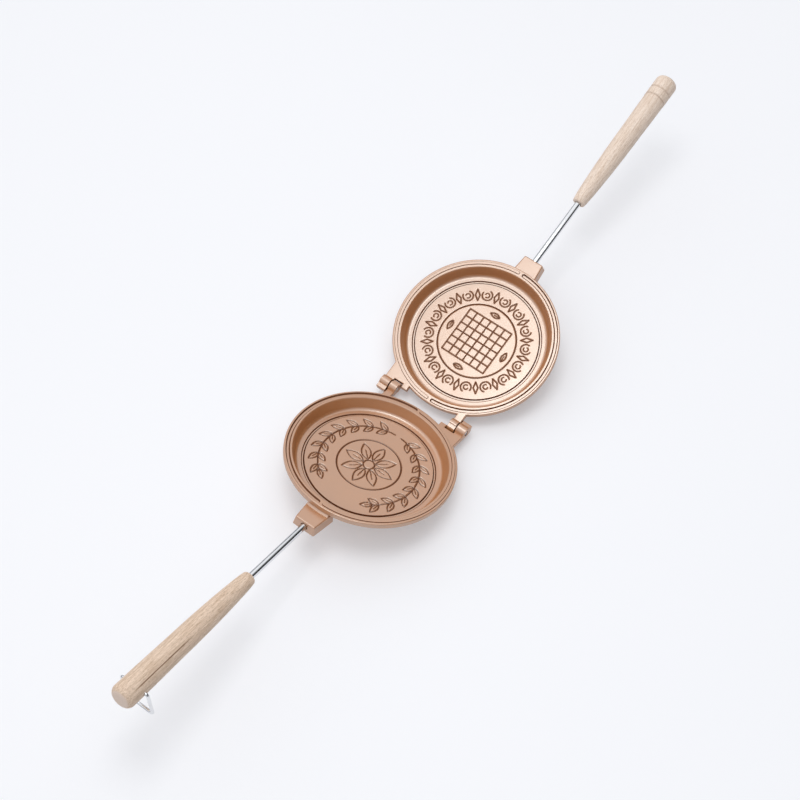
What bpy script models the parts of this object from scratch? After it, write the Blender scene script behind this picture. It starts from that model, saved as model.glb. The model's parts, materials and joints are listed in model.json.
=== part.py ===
"""Round hinged waffle pan with two beech handles, for Blender 4.5.

Two equal castings face each other across a two-knuckle hinge and lie open in a V on the table.
Each casting carries a plated rod and a turned handle. A wire bail on the upper handle locks the
two handles together when the pan is closed. Lengths are in metres and +Z is up.

Each half is modelled in its own frame: x along the hinge, y towards the handle, z out of the open
face, with the origin on the hinge axis midway between the knuckles.
"""
import math

import bmesh
import bpy
from mathutils import Matrix, Vector

# Opening of the hinge
OPEN_ANGLE = math.radians(150.84)
HALF_TILT = (math.pi - OPEN_ANGLE) / 2
CLOSED_RIM_GAP = 0.0003
RIM_Z = -CLOSED_RIM_GAP / 2

# Clearances
SEAT_GAP = 0.0003
PIN_GAP = 0.0002
SIDE_GAP = 0.0003
OVERRUN = 0.0020

# Casting: rim, cavity and body
RIM_RADIUS = 0.0630
RIM_TO_HINGE = 0.0040
RIM_LAND = 0.0064
RIM_EDGE = 0.0007
RIM_BREAK = 0.0006
FLANGE_THICKNESS = 0.0044
CAVITY_DEPTH = 0.0098
CAVITY_DRAFT = math.radians(16.8)
FLOOR_FILLET = 0.0030
FLOOR_THICKNESS = 0.0046
WALL_THICKNESS = 0.0039
BODY_DRAFT = math.radians(33.0)
BODY_FILLET = 0.0020

# Casting: ring groove in the floor
RING_INSET = 0.0056
RING_WIDTH = 0.0020
RING_SIDE = 0.0003
RING_DEPTH = 0.0009

# Casting: tongue and groove of the rim
TONGUE_INSET = 0.0030
TONGUE_WIDTH = 0.0017
TONGUE_HEIGHT = 0.0012
TONGUE_END = 0.0024
GROOVE_DEPTH = 0.0015

# Hinge
PIN_RADIUS = 0.0015
PIN_CHAMFER = 0.0003
KNUCKLE_WALL = 0.0031
KNUCKLE_STEP = 0.0016
INNER_STEP = 0.0014
KNUCKLE_TAIL = 0.0069
KNUCKLE_ROUND = 0.0008
KNUCKLE_PROUD = 0.0001
SPLIT_X = 0.03095
OUTER_WIDTH = 0.0076
INNER_WIDTH = 0.0071
NOTCH_CLEARANCE = 0.0008
HEEL_TOP = 0.0010
HEEL_BOTTOM = 0.0046
STEP_Y = -0.0003
NUB_WIDTH = 0.0052
NUB_REACH = 0.0028

# Socket block of the casting
BLOCK_LENGTH = 0.0147
BLOCK_TOP_DROP = 0.0061
BLOCK_ROOT_HALF = 0.0102
BLOCK_FACE_HALF = 0.0081
BLOCK_SIDE_DRAFT = 0.0011
BLOCK_FACE_DRAFT = 0.0008
BLOCK_ROOT_SINK = 0.0060
BLOCK_ROUND = 0.0010

# Rod
ROD_RADIUS = 0.0025
ROD_DROP = 0.0105
ROD_CHAMFER = 0.0004
SOCKET_DEPTH = 0.0150
SOCKET_MOUTH = 0.0006
ROD_SHOWING = 0.0590
ROD_IN_HANDLE = 0.0300

# Handle
HANDLE_LENGTH = 0.1275
HANDLE_RADIUS = 0.0089
BUTT_ROUND = 0.0052
NOSE_ROUND = 0.0018
HANDLE_SHARES = (
    (0.040, 0.640),
    (0.095, 0.702),
    (0.170, 0.764),
    (0.245, 0.818),
    (0.325, 0.860),
    (0.405, 0.893),
    (0.500, 0.916),
    (0.600, 0.930),
    (0.720, 0.958),
    (0.840, 0.983),
)
NOSE_SHARE = 0.560
SEAT_GROOVE_FROM_BUTT = (0.0127, 0.0202)
SEAT_GROOVE_WIDTH = 0.0030
SEAT_GROOVE_DEPTH = 0.00045
CROSS_HOLE_FROM_BUTT = 0.0140

# Bail
WIRE_RADIUS = 0.0012
WIRE_BEND = 0.0030
BAIL_SIDE_GAP = 0.0006
BAIL_TAIL = 0.0062

# Facets
PAN_STEPS = 72
TURNED_STEPS = 24
BORE_STEPS = 20
ARC_STEPS = 3
BARREL_STEPS = 8
WIRE_STEPS = 4

# Sizes that follow from those above
PAN_CENTRE_Y = RIM_RADIUS + RIM_TO_HINGE
CAVITY_RADIUS = RIM_RADIUS - RIM_LAND
FLOOR_CORNER_RADIUS = CAVITY_RADIUS - CAVITY_DEPTH * math.tan(CAVITY_DRAFT)
RING_RADIUS = FLOOR_CORNER_RADIUS - RING_INSET
BODY_DEPTH = CAVITY_DEPTH + FLOOR_THICKNESS
BODY_TOP_RADIUS = CAVITY_RADIUS + WALL_THICKNESS
BODY_BASE_RADIUS = BODY_TOP_RADIUS - (BODY_DEPTH - FLANGE_THICKNESS) * math.tan(BODY_DRAFT)
TONGUE_RADIUS = RIM_RADIUS - TONGUE_INSET
BARREL_RADIUS = PIN_RADIUS + KNUCKLE_WALL
NOTCH_Y = BARREL_RADIUS + NOTCH_CLEARANCE
OUTER_X = (SPLIT_X + SIDE_GAP / 2, SPLIT_X + SIDE_GAP / 2 + OUTER_WIDTH)
INNER_X = (SPLIT_X - SIDE_GAP / 2 - INNER_WIDTH, SPLIT_X - SIDE_GAP / 2)
NUB_X = (INNER_X[0] - SIDE_GAP - NUB_WIDTH, INNER_X[0] - SIDE_GAP)
BLOCK_FACE_Y = PAN_CENTRE_Y + RIM_RADIUS + BLOCK_LENGTH
BORE_RADIUS = ROD_RADIUS + SEAT_GAP
HANDLE_START = ROD_SHOWING
HANDLE_END = HANDLE_START + HANDLE_LENGTH
CROSS_HOLE_S = HANDLE_END - CROSS_HOLE_FROM_BUTT
LOCK_GROOVE_S = HANDLE_END - SEAT_GROOVE_FROM_BUTT[1]
BAIL_HALF_WIDTH = HANDLE_RADIUS + BAIL_SIDE_GAP + WIRE_RADIUS

# Finishes: base colour, metallic and roughness
FINISHES = {
    "pan_coating": ((0.62, 0.36, 0.24), 0.75, 0.42),
    "plated_steel": ((0.72, 0.73, 0.74), 1.0, 0.22),
    "beech": ((0.74, 0.58, 0.42), 0.0, 0.55),
}


def clear_scene():
    """Remove every object that the scene starts with."""
    for obj in list(bpy.data.objects):
        bpy.data.objects.remove(obj, do_unlink=True)


def new_collection(name, parent=None):
    """Return a new collection linked under the scene or another collection."""
    collection = bpy.data.collections.new(name)
    owner = parent or bpy.context.scene.collection
    owner.children.link(collection)
    return collection


def finish_material(name):
    """Return a Principled BSDF material from the finish table."""
    colour, metallic, roughness = FINISHES[name]
    material = bpy.data.materials.new(name)
    material.use_nodes = True
    shader = material.node_tree.nodes["Principled BSDF"]
    shader.inputs["Base Color"].default_value = (*colour, 1.0)
    shader.inputs["Metallic"].default_value = metallic
    shader.inputs["Roughness"].default_value = roughness
    return material


def arc(centre, radius, start, end, steps):
    """Return points along an arc, both ends included."""
    points = []
    for i in range(steps + 1):
        angle = start + (end - start) * i / steps
        x = centre[0] + radius * math.cos(angle)
        y = centre[1] + radius * math.sin(angle)
        points.append((x, y))
    return points


def filleted(corners, steps=ARC_STEPS):
    """Round the corners of an outline, each given as (x, y, fillet radius)."""
    points = []
    count = len(corners)
    for i, (x, y, radius) in enumerate(corners):
        if i in (0, count - 1) or radius == 0:
            points.append((x, y))
            continue
        here = Vector((x, y))
        before = Vector(corners[i - 1][:2]) - here
        after = Vector(corners[i + 1][:2]) - here
        half = before.angle(after) / 2
        reach = min(radius / math.tan(half), before.length / 2, after.length / 2)
        radius = reach * math.tan(half)
        middle = here + (before.normalized() + after.normalized()).normalized() * radius / math.sin(half)
        first = here + before.normalized() * reach - middle
        turn = first.angle_signed(here + after.normalized() * reach - middle)
        for k in range(steps + 1):
            spoke = first.copy()
            spoke.rotate(Matrix.Rotation(-turn * k / steps, 2))
            points.append(tuple(middle + spoke))
    return points


def mesh_object(name, mesh, collection):
    """Return a new object for a mesh."""
    obj = bpy.data.objects.new(name, mesh)
    collection.objects.link(obj)
    return obj


def turned(name, profile, steps, collection):
    """Turn a profile of (radius, height) points about Z with a Screw modifier."""
    mesh = bpy.data.meshes.new(name)
    vertices = [(radius, 0.0, height) for radius, height in profile]
    edges = [(i, i + 1) for i in range(len(vertices) - 1)]
    mesh.from_pydata(vertices, edges, [])
    obj = mesh_object(name, mesh, collection)
    screw = obj.modifiers.new("turn", "SCREW")
    screw.steps = steps
    screw.render_steps = steps
    screw.use_merge_vertices = True
    screw.merge_threshold = 0.00001
    return obj


def baked_mesh(obj):
    """Return the evaluated mesh of an object with its doubled vertices welded."""
    bpy.context.view_layer.update()
    evaluated = obj.evaluated_get(bpy.context.evaluated_depsgraph_get())
    mesh = bpy.data.meshes.new_from_object(evaluated)
    work = bmesh.new()
    work.from_mesh(mesh)
    bmesh.ops.remove_doubles(work, verts=work.verts, dist=0.000001)
    bmesh.ops.recalc_face_normals(work, faces=work.faces)
    work.to_mesh(mesh)
    work.free()
    return mesh


def plate(name, outline, thickness, edge, collection):
    """Extrude a flat outline to a plate centred on z = 0, with its edges rounded by edge."""
    curve = bpy.data.curves.new(name, "CURVE")
    curve.dimensions = "2D"
    curve.fill_mode = "BOTH"
    curve.extrude = thickness / 2 - edge
    curve.bevel_depth = edge
    curve.offset = -edge
    curve.bevel_resolution = 1
    curve.render_resolution_u = 0
    spline = curve.splines.new("POLY")
    spline.points.add(len(outline) - 1)
    for point, (x, y) in zip(spline.points, outline):
        point.co = (x, y, 0.0, 1.0)
    spline.use_cyclic_u = True
    drawn = mesh_object(name + "_outline", curve, collection)
    mesh = baked_mesh(drawn)
    bpy.data.objects.remove(drawn, do_unlink=True)
    mesh.name = name
    return mesh_object(name, mesh, collection)


def side_plate(name, outline, x_range, edge, collection):
    """Extrude an outline drawn in (y, z) along x, from the first to the last x of x_range."""
    obj = plate(name, outline, x_range[1] - x_range[0], edge, collection)
    middle = (x_range[0] + x_range[1]) / 2
    turn = Matrix(((0, 0, 1), (1, 0, 0), (0, 1, 0))).to_4x4()
    obj.matrix_world = Matrix.Translation((middle, 0, 0)) @ turn
    return obj


def combine(obj, operand, operation):
    """Add a Boolean modifier and hide its operand."""
    step = obj.modifiers.new(operand.name, "BOOLEAN")
    step.operation = operation
    step.object = operand
    step.solver = "EXACT"
    operand.hide_render = True
    operand.display_type = "WIRE"


def rim_y(x):
    """Return y of the rim's outer edge on the hinge side."""
    return PAN_CENTRE_Y - math.sqrt(RIM_RADIUS ** 2 - x ** 2)


def rim_arc(x_start, x_end, steps):
    """Return rim points between two x places on the hinge side, ends left out."""
    start = math.atan2(rim_y(x_start) - PAN_CENTRE_Y, x_start)
    end = math.atan2(rim_y(x_end) - PAN_CENTRE_Y, x_end)
    if end < start:
        end += math.tau
    return arc((0, PAN_CENTRE_Y), RIM_RADIUS, start, end, steps)[1:-1]


def flange_outline():
    """Return the outline of the rim with its wide ear, nub and narrow neck."""
    ear = OUTER_X[1] - KNUCKLE_PROUD
    ear_inner = OUTER_X[0] + KNUCKLE_PROUD
    neck = (INNER_X[0] + KNUCKLE_PROUD, INNER_X[1] - KNUCKLE_PROUD)
    tab_end = BARREL_RADIUS / 2
    nub_end = NUB_REACH
    outline = [(-ear, rim_y(ear)), (-ear, tab_end), (-ear_inner, tab_end)]
    outline += [(-ear_inner, NOTCH_Y), (-NUB_X[1], NOTCH_Y)]
    outline += [(-NUB_X[1], nub_end), (-NUB_X[0], nub_end)]
    outline += [(-NUB_X[0], rim_y(NUB_X[0]))]
    outline += rim_arc(-NUB_X[0], neck[0], PAN_STEPS // 9)
    outline += [(neck[0], rim_y(neck[0])), (neck[0], tab_end)]
    outline += [(neck[1], tab_end), (neck[1], rim_y(neck[1]))]
    outline += rim_arc(neck[1], -ear, PAN_STEPS * 4 // 5)
    return outline


def body_profile():
    """Return the turned outside of the bowl below the flange, from top to bottom."""
    top = -FLANGE_THICKNESS / 2
    corners = [
        (0, top, 0),
        (BODY_TOP_RADIUS, top, 0),
        (BODY_TOP_RADIUS, -FLANGE_THICKNESS, 0),
        (BODY_BASE_RADIUS, -BODY_DEPTH, BODY_FILLET),
        (0, -BODY_DEPTH, 0),
    ]
    return filleted(corners)


def cavity_profile():
    """Return the turned cutter of the cavity, with the ring groove in its floor."""
    ring = (RING_RADIUS - RING_WIDTH / 2, RING_RADIUS + RING_WIDTH / 2)
    floor = -CAVITY_DEPTH
    flare = CAVITY_RADIUS + RIM_BREAK + OVERRUN
    corners = [
        (0, OVERRUN, 0),
        (flare, OVERRUN, 0),
        (CAVITY_RADIUS - RIM_BREAK * math.tan(CAVITY_DRAFT), -RIM_BREAK, 0),
        (FLOOR_CORNER_RADIUS, floor, FLOOR_FILLET),
        (ring[1], floor, 0),
        (ring[1] - RING_SIDE, floor - RING_DEPTH, 0),
        (ring[0] + RING_SIDE, floor - RING_DEPTH, 0),
        (ring[0], floor, 0),
        (0, floor, 0),
    ]
    return filleted(corners)


def rim_band(width, side):
    """Return a half ring with round ends on one side of the rim, side -1 for -x and +1 for +x."""
    end = math.asin(TONGUE_END / TONGUE_RADIUS)
    first = -math.pi / 2 + end
    last = math.pi / 2 - end
    steps = PAN_STEPS // 2
    outer = arc((0, 0), TONGUE_RADIUS + width / 2, first, last, steps)
    inner = arc((0, 0), TONGUE_RADIUS - width / 2, last, first, steps)
    tip = (TONGUE_RADIUS * math.cos(last), TONGUE_RADIUS * math.sin(last))
    cap = arc(tip, width / 2, last, last + math.pi, ARC_STEPS)[1:-1]
    tail = (TONGUE_RADIUS * math.cos(first), TONGUE_RADIUS * math.sin(first))
    foot = arc(tail, width / 2, first + math.pi, first + math.tau, ARC_STEPS)[1:-1]
    points = outer + cap + inner + foot
    return [(side * x, y + PAN_CENTRE_Y) for x, y in points]


def outer_knuckle_outline():
    """Return the (y, z) outline of the outer knuckle: barrel, lower step and rounded tail."""
    step_z = BARREL_RADIUS - KNUCKLE_STEP
    meets = math.pi - math.asin(step_z / BARREL_RADIUS)
    bottom = RIM_Z - FLANGE_THICKNESS
    barrel = arc((0, 0), BARREL_RADIUS, 0, meets, BARREL_STEPS)
    root = BARREL_RADIUS + KNUCKLE_WALL
    tail = [
        (barrel[-1][0], step_z, 0),
        (-KNUCKLE_TAIL, step_z, KNUCKLE_ROUND),
        (-KNUCKLE_TAIL, bottom, KNUCKLE_WALL),
        (root, bottom + KNUCKLE_PROUD, 0),
        (root, RIM_Z - KNUCKLE_ROUND, 0),
        (BARREL_RADIUS, RIM_Z - KNUCKLE_ROUND, 0),
    ]
    return barrel[:-1] + filleted(tail)


def inner_knuckle_outline():
    """Return the (y, z) outline of the inner knuckle, with the heel that stops the opening."""
    step_z = BARREL_RADIUS - INNER_STEP
    bottom = RIM_Z - FLANGE_THICKNESS
    top = math.pi / 2 + math.asin(-STEP_Y / BARREL_RADIUS)
    barrel = arc((0, 0), BARREL_RADIUS, 0, top, BARREL_STEPS)
    away = Vector((math.cos(OPEN_ANGLE), math.sin(OPEN_ANGLE)))
    down = Vector((-math.sin(OPEN_ANGLE), math.cos(OPEN_ANGLE)))
    face = away * (NOTCH_Y - SEAT_GAP)
    heel_top = face + down * HEEL_TOP
    heel_bottom = face + down * HEEL_BOTTOM
    shoulder = -math.sqrt(BARREL_RADIUS ** 2 - step_z ** 2)
    root = BARREL_RADIUS + KNUCKLE_WALL
    tail = [
        (STEP_Y, step_z, 0),
        (shoulder, step_z, 0),
        (heel_top.x, heel_top.y, 0),
        (heel_bottom.x, heel_bottom.y, 0),
        (-BARREL_RADIUS / 2, bottom, 0),
        (root, bottom + KNUCKLE_PROUD, 0),
        (root, RIM_Z - KNUCKLE_ROUND, 0),
        (BARREL_RADIUS, RIM_Z - KNUCKLE_ROUND, 0),
    ]
    return barrel + filleted(tail)


def socket_block(collection):
    """Return the drafted block that holds the rod."""
    mesh = bpy.data.meshes.new("socket_block")
    work = bmesh.new()
    bmesh.ops.create_cube(work, size=2.0)
    top = RIM_Z - BLOCK_TOP_DROP
    bottom = RIM_Z - BODY_DEPTH
    root = PAN_CENTRE_Y + RIM_RADIUS - BLOCK_ROOT_SINK
    for vertex in work.verts:
        at_face = vertex.co.y > 0
        below = vertex.co.z < 0
        half = BLOCK_FACE_HALF if at_face else BLOCK_ROOT_HALF
        half += BLOCK_SIDE_DRAFT if below else 0
        y = BLOCK_FACE_Y if at_face else root
        y -= 0 if below or not at_face else BLOCK_FACE_DRAFT
        vertex.co = (math.copysign(half, vertex.co.x), y, bottom if below else top)
    work.to_mesh(mesh)
    work.free()
    block = mesh_object("socket_block", mesh, collection)
    bevel = block.modifiers.new("round", "BEVEL")
    bevel.width = BLOCK_ROUND
    bevel.segments = 2
    bevel.limit_method = "NONE"
    return block


def along_rod(distance):
    """Return the matrix at a distance from the block's face along the rod, +Z towards the butt."""
    lay_down = Matrix.Rotation(-math.pi / 2, 4, "X")
    return Matrix.Translation((0, BLOCK_FACE_Y + distance, -ROD_DROP)) @ lay_down


def casting_mesh(cutters):
    """Return the mesh of one casting in the frame of its half."""
    middle = RIM_Z - FLANGE_THICKNESS / 2
    casting = plate("casting", flange_outline(), FLANGE_THICKNESS, RIM_EDGE, cutters)
    casting.location.z = middle

    body = turned("bowl_body", body_profile(), PAN_STEPS, cutters)
    body.location = (0, PAN_CENTRE_Y, RIM_Z)
    outer_x = (-OUTER_X[1], -OUTER_X[0])
    outer = side_plate("outer_knuckle", outer_knuckle_outline(), outer_x, 0, cutters)
    inner = side_plate("inner_knuckle", inner_knuckle_outline(), INNER_X, 0, cutters)
    block = socket_block(cutters)
    tongue_reach = TONGUE_HEIGHT + FLANGE_THICKNESS / 2
    tongue = plate("rim_tongue", rim_band(TONGUE_WIDTH, -1), tongue_reach, 0, cutters)
    tongue.location.z = RIM_Z + TONGUE_HEIGHT - tongue_reach / 2
    for piece in (body, outer, inner, block, tongue):
        combine(casting, piece, "UNION")

    cavity = turned("cavity", cavity_profile(), PAN_STEPS, cutters)
    cavity.location = (0, PAN_CENTRE_Y, RIM_Z)
    groove_reach = GROOVE_DEPTH + OVERRUN
    groove = plate("rim_groove", rim_band(TONGUE_WIDTH + 2 * SEAT_GAP, 1), groove_reach, 0, cutters)
    groove.location.z = RIM_Z - GROOVE_DEPTH + groove_reach / 2
    bore_reach = OUTER_X[1] - INNER_X[0] + 2 * OVERRUN
    pin_bores = []
    for side in (-1, 1):
        radius = PIN_RADIUS + PIN_GAP
        profile = [(0, bore_reach / 2), (radius, bore_reach / 2), (radius, -bore_reach / 2), (0, -bore_reach / 2)]
        bore = turned("pin_bore", profile, BORE_STEPS, cutters)
        bore.rotation_euler.y = math.pi / 2
        bore.location.x = side * (OUTER_X[1] + INNER_X[0]) / 2
        pin_bores.append(bore)
    mouth = BORE_RADIUS + SOCKET_MOUTH
    profile = [
        (0, OVERRUN),
        (mouth, OVERRUN),
        (mouth, 0),
        (BORE_RADIUS, -SOCKET_MOUTH),
        (BORE_RADIUS, -SOCKET_DEPTH),
        (0, -SOCKET_DEPTH),
    ]
    socket = turned("rod_socket", profile, BORE_STEPS, cutters)
    socket.matrix_world = along_rod(0)
    for cutter in [cavity, groove, socket] + pin_bores:
        combine(casting, cutter, "DIFFERENCE")
    mesh = baked_mesh(casting)
    mesh.transform(Matrix.Translation((0, 0, middle)))
    casting.hide_render = True
    casting.display_type = "WIRE"
    return mesh


def rod_profile():
    """Return the rod's profile, with its height measured from the block's face."""
    top = HANDLE_START + ROD_IN_HANDLE - SEAT_GAP
    bottom = SEAT_GAP - SOCKET_DEPTH
    return [
        (0, top),
        (ROD_RADIUS - ROD_CHAMFER, top),
        (ROD_RADIUS, top - ROD_CHAMFER),
        (ROD_RADIUS, bottom + ROD_CHAMFER),
        (ROD_RADIUS - ROD_CHAMFER, bottom),
        (0, bottom),
    ]


def handle_profile(grooved):
    """Return the handle's profile from the butt down its outside and up the bore for the rod."""
    corners = [(0, HANDLE_END, 0), (HANDLE_RADIUS, HANDLE_END, BUTT_ROUND)]
    if grooved:
        flat = SEAT_GROOVE_WIDTH / 4
        for from_butt in SEAT_GROOVE_FROM_BUTT:
            centre = HANDLE_END - from_butt
            corners += [
                (HANDLE_RADIUS, centre + SEAT_GROOVE_WIDTH / 2, 0),
                (HANDLE_RADIUS - SEAT_GROOVE_DEPTH, centre + flat, 0),
                (HANDLE_RADIUS - SEAT_GROOVE_DEPTH, centre - flat, 0),
                (HANDLE_RADIUS, centre - SEAT_GROOVE_WIDTH / 2, 0),
            ]
    for length_share, radius_share in reversed(HANDLE_SHARES):
        corners.append((HANDLE_RADIUS * radius_share, HANDLE_START + HANDLE_LENGTH * length_share, 0))
    corners += [
        (HANDLE_RADIUS * NOSE_SHARE, HANDLE_START, NOSE_ROUND),
        (BORE_RADIUS, HANDLE_START, 0),
        (BORE_RADIUS, HANDLE_START + ROD_IN_HANDLE, 0),
        (0, HANDLE_START + ROD_IN_HANDLE, 0),
    ]
    return filleted(corners)


def pin_profile():
    """Return the profile of a hinge pin, centred on its length."""
    half = (OUTER_X[1] - INNER_X[0]) / 2
    return [
        (0, half),
        (PIN_RADIUS - PIN_CHAMFER, half),
        (PIN_RADIUS, half - PIN_CHAMFER),
        (PIN_RADIUS, PIN_CHAMFER - half),
        (PIN_RADIUS - PIN_CHAMFER, -half),
        (0, -half),
    ]


def lock_length():
    """Return the distance from the cross hole to the crossbar seated in the other handle's groove."""
    across = 2 * ROD_DROP + HANDLE_RADIUS - SEAT_GROOVE_DEPTH + SEAT_GAP + WIRE_RADIUS
    along = CROSS_HOLE_S - LOCK_GROOVE_S
    return math.hypot(across, along)


def bail_mesh(collection):
    """Return the bent wire, hanging along -Z from its pivot at the origin."""
    drop = lock_length()
    half = BAIL_HALF_WIDTH
    elbow = half - HANDLE_RADIUS
    corners = [
        (-half + BAIL_TAIL, 0, 0),
        (-half, 0, elbow),
        (-half, -drop, WIRE_BEND),
        (half, -drop, WIRE_BEND),
        (half, 0, elbow),
        (half - BAIL_TAIL, 0, 0),
    ]
    route = filleted(corners, WIRE_STEPS)
    curve = bpy.data.curves.new("bail_wire", "CURVE")
    curve.dimensions = "3D"
    curve.bevel_depth = WIRE_RADIUS
    curve.bevel_resolution = 2
    curve.render_resolution_u = 0
    curve.use_fill_caps = True
    spline = curve.splines.new("POLY")
    spline.points.add(len(route) - 1)
    for point, (x, z) in zip(spline.points, route):
        point.co = (x, 0.0, z, 1.0)
    wire = mesh_object("bail_wire", curve, collection)
    mesh = baked_mesh(wire)
    bpy.data.objects.remove(wire, do_unlink=True)
    return mesh


def lowest_point():
    """Return how far the casting's lowest edge lies below the hinge axis when the pan is open."""
    heights = []
    for radius, z in body_profile():
        y = PAN_CENTRE_Y - radius
        heights.append(y * math.sin(HALF_TILT) + (RIM_Z + z) * math.cos(HALF_TILT))
    return -min(heights)


def finish(obj, material):
    """Shade a piece smooth with sharp edges kept, and give it its material."""
    obj.data.materials.clear()
    obj.data.materials.append(material)
    obj.data.shade_smooth()
    obj.data.set_sharp_from_angle(angle=math.radians(30))
    return obj


def place(obj, parent, matrix):
    """Parent an object and set its place in the parent's frame."""
    obj.parent = parent
    obj.matrix_parent_inverse = Matrix.Identity(4)
    obj.matrix_basis = matrix


def build_half(name, turn, pin_side, casting, cutters, pan, materials):
    """Build one half: its casting, hinge pin, rod and handle under an empty on the hinge axis."""
    frame = bpy.data.objects.new(name + "_half", None)
    pan.objects.link(frame)
    frame.location.z = lowest_point()
    frame.rotation_euler = (HALF_TILT, 0, turn)

    body = finish(mesh_object(name + "_pan", casting.copy(), pan), materials["pan_coating"])
    place(body, frame, Matrix.Identity(4))

    pin = turned("hinge_pin_" + pin_side, pin_profile(), BORE_STEPS, pan)
    pin.data.materials.append(materials["plated_steel"])
    pin_x = -(OUTER_X[1] + INNER_X[0]) / 2
    place(pin, frame, Matrix.Translation((pin_x, 0, 0)) @ Matrix.Rotation(math.pi / 2, 4, "Y"))

    rod = turned(name + "_rod", rod_profile(), BORE_STEPS, pan)
    rod.data.materials.append(materials["plated_steel"])
    place(rod, frame, along_rod(0))

    grooved = name == "lower"
    handle = turned(name + "_handle", handle_profile(grooved), TURNED_STEPS, pan)
    handle.data.materials.append(materials["beech"])
    place(handle, frame, along_rod(0))
    if not grooved:
        reach = HANDLE_RADIUS + OVERRUN
        radius = WIRE_RADIUS + SEAT_GAP
        profile = [(0, reach), (radius, reach), (radius, -reach), (0, -reach)]
        hole = turned("cross_hole", profile, BORE_STEPS, cutters)
        across = Matrix.Translation((0, 0, CROSS_HOLE_S)) @ Matrix.Rotation(math.pi / 2, 4, "Y")
        place(hole, frame, along_rod(0) @ across)
        combine(handle, hole, "DIFFERENCE")
    return frame


def build():
    """Build the whole pan, standing open on the plane z = 0."""
    clear_scene()
    pan = new_collection("waffle_pan")
    cutters = new_collection("cutters", pan)
    materials = {name: finish_material(name) for name in FINISHES}
    casting = casting_mesh(cutters)
    build_half("lower", 0, "left", casting, cutters, pan, materials)
    upper = build_half("upper", math.pi, "right", casting, cutters, pan, materials)

    bail = mesh_object("locking_bail", bail_mesh(cutters), pan)
    finish(bail, materials["plated_steel"])
    bpy.context.view_layer.update()
    bail.location = (upper.matrix_world @ along_rod(CROSS_HOLE_S)).translation


build()
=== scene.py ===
"""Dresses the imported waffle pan: fine castings with engraved floors, rods, pins, handles and bail.

Each half is modelled in its own frame: x along the hinge, y towards the handle, z out of the open
face, with the origin on the hinge axis. Lengths are in metres.
"""
import json
import math

import bmesh
import bpy
import numpy as np
from mathutils import Matrix, Vector


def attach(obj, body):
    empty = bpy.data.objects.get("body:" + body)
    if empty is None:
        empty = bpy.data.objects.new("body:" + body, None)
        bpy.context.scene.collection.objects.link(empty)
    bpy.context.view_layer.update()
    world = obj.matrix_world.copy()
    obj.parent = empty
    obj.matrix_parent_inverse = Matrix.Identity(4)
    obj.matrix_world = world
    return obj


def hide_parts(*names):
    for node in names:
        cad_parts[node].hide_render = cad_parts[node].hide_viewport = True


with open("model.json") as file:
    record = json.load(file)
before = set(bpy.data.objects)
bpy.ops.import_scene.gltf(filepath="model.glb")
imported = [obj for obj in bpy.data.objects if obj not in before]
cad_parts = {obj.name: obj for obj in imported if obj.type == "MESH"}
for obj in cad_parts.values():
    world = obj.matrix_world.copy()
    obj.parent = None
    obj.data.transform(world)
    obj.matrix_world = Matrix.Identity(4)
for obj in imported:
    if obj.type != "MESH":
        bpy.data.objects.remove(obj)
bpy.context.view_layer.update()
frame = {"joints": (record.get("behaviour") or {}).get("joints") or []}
PAN_HINGE = next(joint for joint in frame["joints"] if joint["name"] == "pan_hinge")

# Place of the halves, from the frame
HINGE_HEIGHT = PAN_HINGE["pos_m"][2]
OPEN_ANGLE = math.radians(PAN_HINGE["range_deg"][1])
HALF_TILT = (math.pi - OPEN_ANGLE) / 2
CLOSED_RIM_GAP = 0.0003
RIM_Z = -CLOSED_RIM_GAP / 2

# Clearances
SEAT_GAP = 0.0003
PIN_GAP = 0.0002
OVERRUN = 0.0020
CLEAR_OF_PLANE = 0.00007

# Casting, as in the CAD, with one more fillet at the rim's break
RIM_RADIUS = 0.0630
RIM_TO_HINGE = 0.0040
RIM_LAND = 0.0064
RIM_EDGE = 0.0007
RIM_BREAK = 0.0006
RIM_BREAK_FILLET = 0.0012
FLANGE_THICKNESS = 0.0044
CAVITY_DEPTH = 0.0098
CAVITY_DRAFT = math.radians(16.8)
FLOOR_FILLET = 0.0030
FLOOR_THICKNESS = 0.0046
WALL_THICKNESS = 0.0039
BODY_DRAFT = math.radians(33.0)
BODY_FILLET = 0.0020
PAN_CENTRE_Y = RIM_RADIUS + RIM_TO_HINGE
RIM_BOTTOM = RIM_Z - FLANGE_THICKNESS
CAVITY_RADIUS = RIM_RADIUS - RIM_LAND
FLOOR_CORNER_RADIUS = CAVITY_RADIUS - CAVITY_DEPTH * math.tan(CAVITY_DRAFT)
BODY_DEPTH = CAVITY_DEPTH + FLOOR_THICKNESS
BODY_TOP_RADIUS = CAVITY_RADIUS + WALL_THICKNESS
BODY_BASE_RADIUS = BODY_TOP_RADIUS - (BODY_DEPTH - FLANGE_THICKNESS) * math.tan(BODY_DRAFT)

# Ring groove in the floor, in the place of the CAD's, with sloping sides
RING_INSET = 0.0056
RING_WIDTH = 0.0020
RING_DEPTH = 0.0009
RING_OUTER_SLOPE = (0.0003, 0.0004)
RING_CORNER = 0.0002
RING_RADIUS = FLOOR_CORNER_RADIUS - RING_INSET

# Tongue and groove of the rim, drafted and lower than the CAD's
TONGUE_INSET = 0.0030
TONGUE_TOP = 0.0018
TONGUE_SHOULDER = 0.0020
TONGUE_BASE = 0.0026
TONGUE_HEIGHT = 0.0005
SHOULDER_SHARE = 0.85
TONGUE_SINK = 0.0003
TONGUE_END = 0.0024
GROOVE_DEPTH = 0.0011
GROOVE_FLOOR = 0.0015
GROOVE_TOP = 0.0031
GROOVE_TOP_SHARE = 0.12
TONGUE_RADIUS = RIM_RADIUS - TONGUE_INSET

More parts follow.
